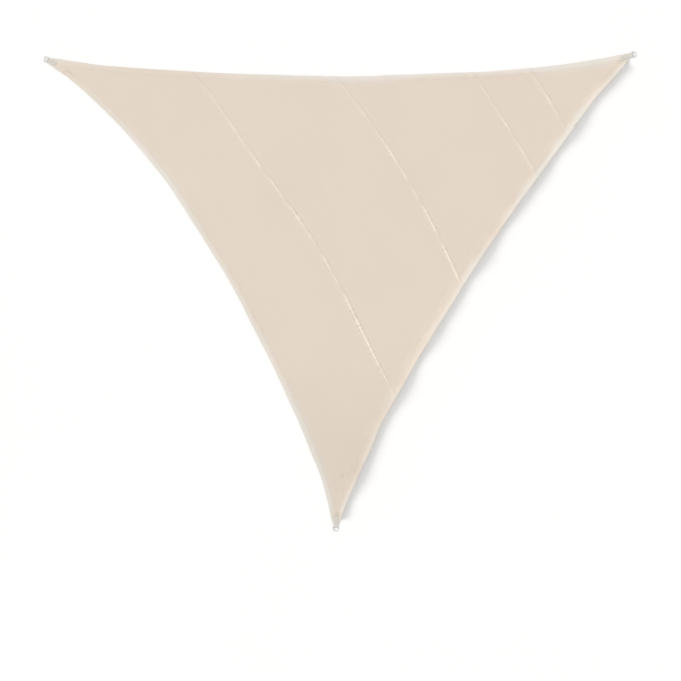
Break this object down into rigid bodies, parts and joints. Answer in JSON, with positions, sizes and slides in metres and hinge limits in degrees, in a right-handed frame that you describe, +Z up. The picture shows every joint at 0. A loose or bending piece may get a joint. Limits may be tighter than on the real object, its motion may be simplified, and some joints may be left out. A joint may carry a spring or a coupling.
{
  "type": "shade sail",
  "caption": "Triangular fabric shade sail laid out flat, with lap-sewn panels, folded hems and a webbing tab holding a steel D-ring at each corner.",
  "frame": {"origin": "middle of the footprint of the laid-out sail, on the ground under it", "axes": "+X along the long top side, from the left ring to the right ring; +Y in the plane of the sail, away from the bottom ring; +Z up from the ground, out of the sail's hemmed face"},
  "size_m": [3.6284, 2.9356, 0.0579],
  "materials": {
    "sail_cloth": "matt sand-coloured woven polyester",
    "webbing": "matt pale grey-beige webbing",
    "ring_steel": "polished stainless steel wire"
  },
  "bodies": {
    "root": {"cloth_panel_1": "sail_cloth", "cloth_panel_2": "sail_cloth", "cloth_panel_3": "sail_cloth", "cloth_panel_4": "sail_cloth", "cloth_panel_5": "sail_cloth", "corner_tab_left": "webbing", "corner_tab_right": "webbing", "corner_tab_bottom": "webbing", "d_ring_left": "ring_steel", "d_ring_right": "ring_steel", "d_ring_bottom": "ring_steel"}
  },
  "joints": []
}
